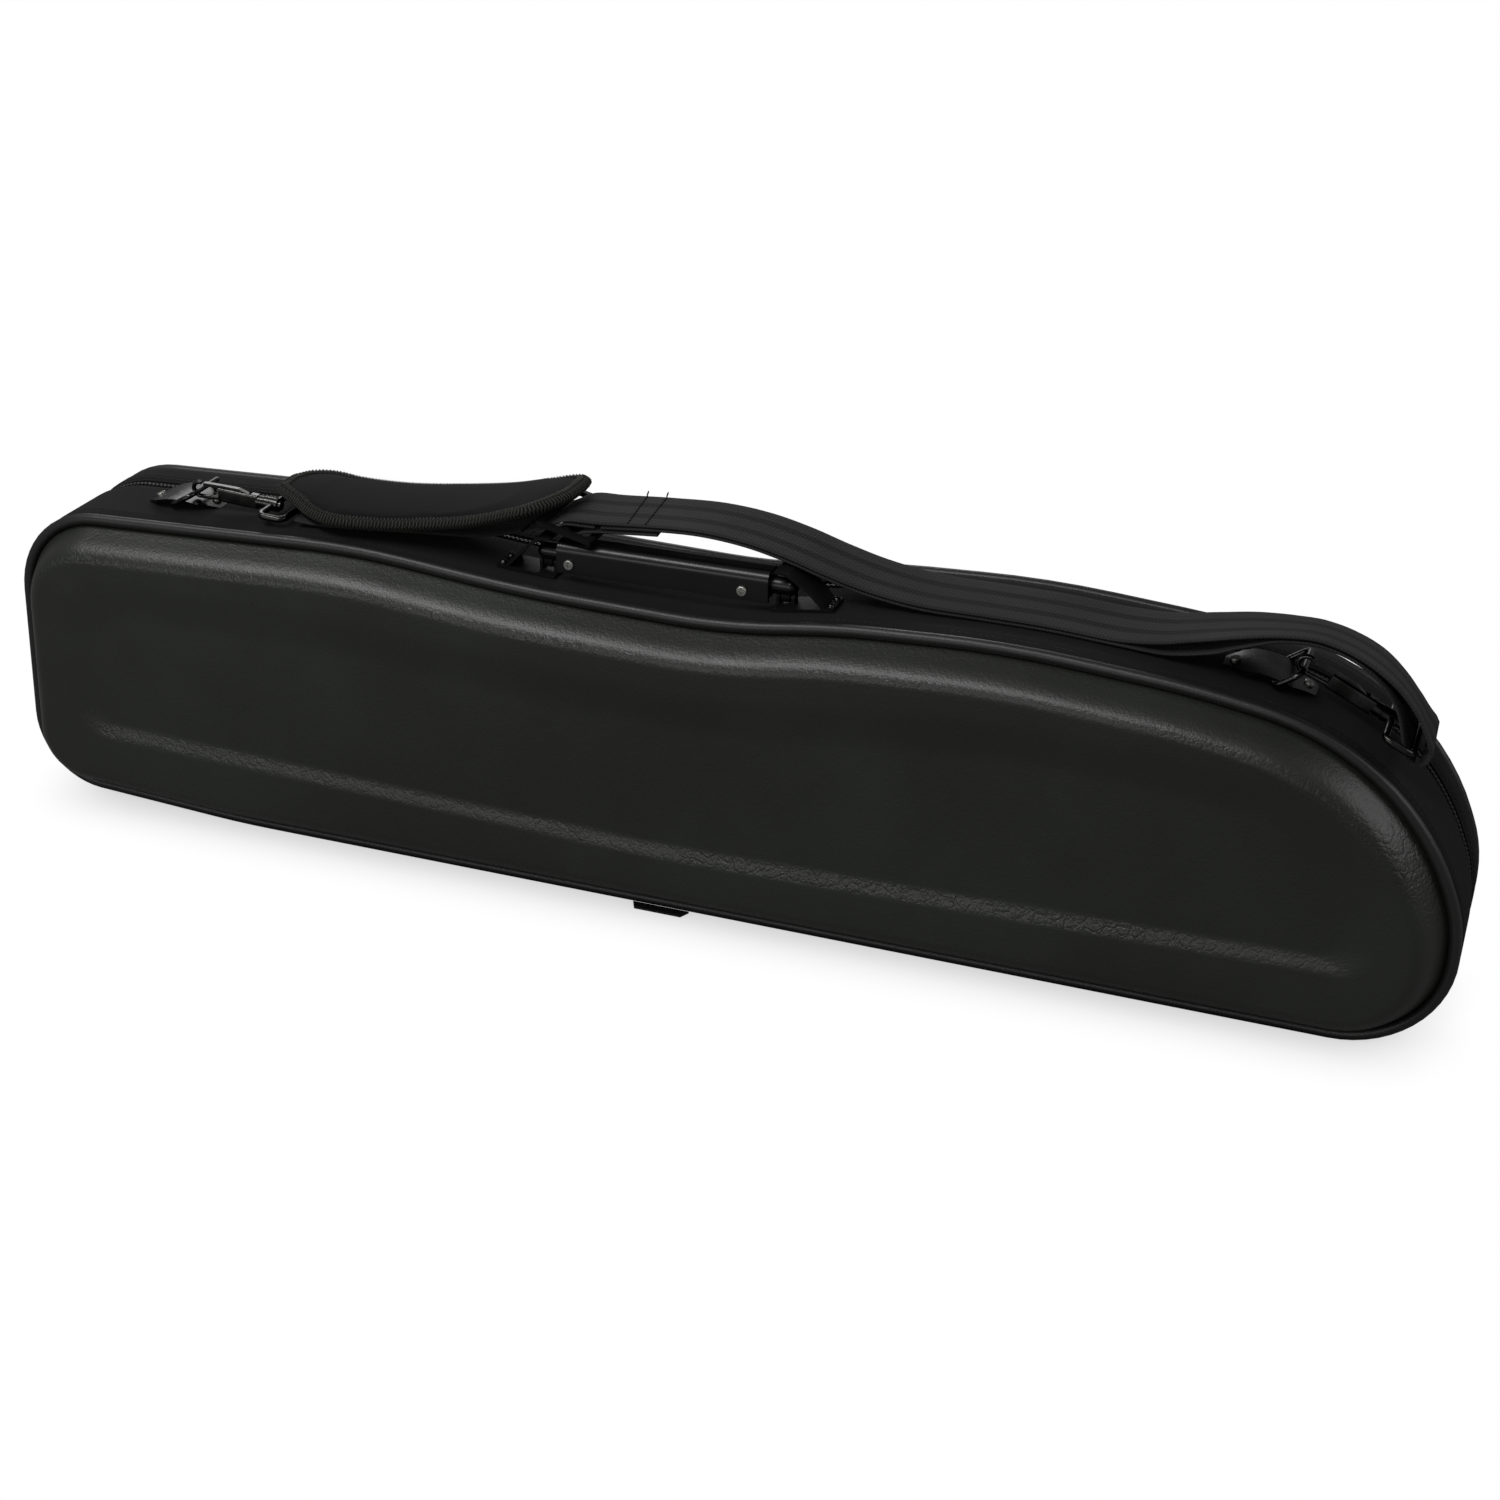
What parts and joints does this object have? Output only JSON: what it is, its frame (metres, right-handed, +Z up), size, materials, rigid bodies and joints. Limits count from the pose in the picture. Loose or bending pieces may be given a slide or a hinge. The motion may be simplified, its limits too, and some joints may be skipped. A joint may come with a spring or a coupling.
{
  "type": "soprano saxophone case",
  "caption": "Soft-sided zip case for a straight soprano saxophone, with a hooded carry handle, snap-hooked shoulder strap, shoulder pad and fitted foam inside.",
  "frame": {"origin": "on the surface the case stands on, under the middle of its length and depth", "axes": "+X along the case towards its wide rounded end, +Y from the deep front half to the lid, +Z up"},
  "size_m": [0.7271, 0.1084, 0.1975],
  "materials": {
    "shell_leather": "grained, satin",
    "piping_leather": "smooth, satin",
    "wall_fabric": "fine weave",
    "frame_board": "matte",
    "zip_tape": "woven tape",
    "zip_teeth": "moulded coil",
    "lining": "short plush",
    "dark_metal": "black nickel, glossy",
    "screw_metal": "dull",
    "grip_cover": "satin",
    "webbing": "ribbed webbing",
    "pad_fabric": "foam-backed cloth with a bound edge"
  },
  "bodies": {
    "base": {"base_tray": "shell_leather", "base_piping": "piping_leather", "base_gusset": "wall_fabric", "base_frame": "frame_board", "base_zip_tape": "zip_tape", "base_zip_teeth": "zip_teeth", "base_cloth_hinge": "wall_fabric", "base_insert": "lining", "seam_tab": "piping_leather", "handle_bracket_left": "dark_metal", "handle_bracket_right": "dark_metal", "handle_pins": "dark_metal", "bracket_rivets": "dark_metal", "saddle_left": "dark_metal", "saddle_right": "dark_metal", "saddle_screws": "screw_metal", "shoulder_strap": "webbing", "strap_return": "webbing", "strap_wrap": "webbing", "strap_short": "webbing", "strap_adjuster": "dark_metal", "shoulder_pad": "pad_fabric", "strap_eye_left": "dark_metal", "strap_eye_right": "dark_metal"},
    "lid": {"lid_tray": "shell_leather", "lid_piping": "piping_leather", "lid_gusset": "wall_fabric", "lid_frame": "frame_board", "lid_zip_tape": "zip_tape", "lid_zip_teeth": "zip_teeth", "lid_cloth_hinge": "wall_fabric", "lid_insert": "lining"},
    "handle": {"handle_grip": "grip_cover", "handle_core": "grip_cover", "handle_screws": "screw_metal"},
    "ring_left": {"ring_left": "dark_metal"},
    "ring_right": {"ring_right": "dark_metal"},
    "hook_left": {"hook_left": "dark_metal", "gate_pin_left": "dark_metal"},
    "hook_right": {"hook_right": "dark_metal", "gate_pin_right": "dark_metal"},
    "gate_left": {"hook_gate_left": "dark_metal"},
    "gate_right": {"hook_gate_right": "dark_metal"},
    "slider_upper": {"zip_slider_upper": "dark_metal"},
    "slider_lower": {"zip_slider_lower": "dark_metal"},
    "pull_upper": {"zip_pull_upper": "dark_metal"},
    "pull_lower": {"zip_pull_lower": "dark_metal"}
  },
  "joints": [
    {"name": "lid_hinge", "type": "hinge", "parent": "base", "child": "lid", "pos_m": [0, 0.0117, 0], "axis": [-1, 0, 0], "range_deg": [0, 110]},
    {"name": "handle_swing", "type": "hinge", "parent": "base", "child": "handle", "pos_m": [-0.01, -0.0175, 0.1638], "axis": [1, 0, 0], "range_deg": [-30, 30]},
    {"name": "ring_left_swing", "type": "hinge", "parent": "base", "child": "ring_left", "pos_m": [-0.2724, -0.008, 0.1646], "axis": [0, -1, 0], "range_deg": [0, 3.5]},
    {"name": "hook_left_swivel", "type": "hinge", "parent": "base", "child": "hook_left", "pos_m": [-0.2597, -0.013, 0.1721], "axis": [0.9981, 0, -0.061], "range_deg": [-15, 15]},
    {"name": "gate_left_press", "type": "hinge", "parent": "hook_left", "child": "gate_left", "pos_m": [-0.2337, -0.013, 0.17131], "axis": [0, -1, 0], "range_deg": [0, 10], "stiffness_Nm_per_rad": 0.03, "springref_deg": -14.32},
    {"name": "ring_right_swing", "type": "hinge", "parent": "base", "child": "ring_right", "pos_m": [0.2676, -0.008, 0.15775], "axis": [0, -1, 0], "range_deg": [0, 3.5]},
    {"name": "hook_right_swivel", "type": "hinge", "parent": "base", "child": "hook_right", "pos_m": [0.2796, -0.013, 0.1665], "axis": [0.8942, 0, -0.4478], "range_deg": [-15, 15]},
    {"name": "gate_right_press", "type": "hinge", "parent": "hook_right", "child": "gate_right", "pos_m": [0.30321, -0.013, 0.15557], "axis": [0, -1, 0], "range_deg": [0, 10], "stiffness_Nm_per_rad": 0.03, "springref_deg": -14.32},
    {"name": "slider_upper_run", "type": "slide", "parent": "base", "child": "slider_upper", "axis": [0.0683, 0, 0.9977], "range_m": [0, 0.05]},
    {"name": "pull_upper_swing", "type": "hinge", "parent": "slider_upper", "child": "pull_upper", "pos_m": [-0.36103, 0.0117, 0.0519], "axis": [0, 1, 0], "range_deg": [0, 120]},
    {"name": "slider_lower_run", "type": "hinge", "parent": "base", "child": "slider_lower", "pos_m": [-0.3229, 0.0117, 0.0418], "axis": [0, -1, 0], "range_deg": [0, 62]},
    {"name": "pull_lower_swing", "type": "hinge", "parent": "slider_lower", "child": "pull_lower", "pos_m": [-0.36167, 0.0117, 0.04045], "axis": [0, 1, 0], "range_deg": [0, 34]}
  ]
}
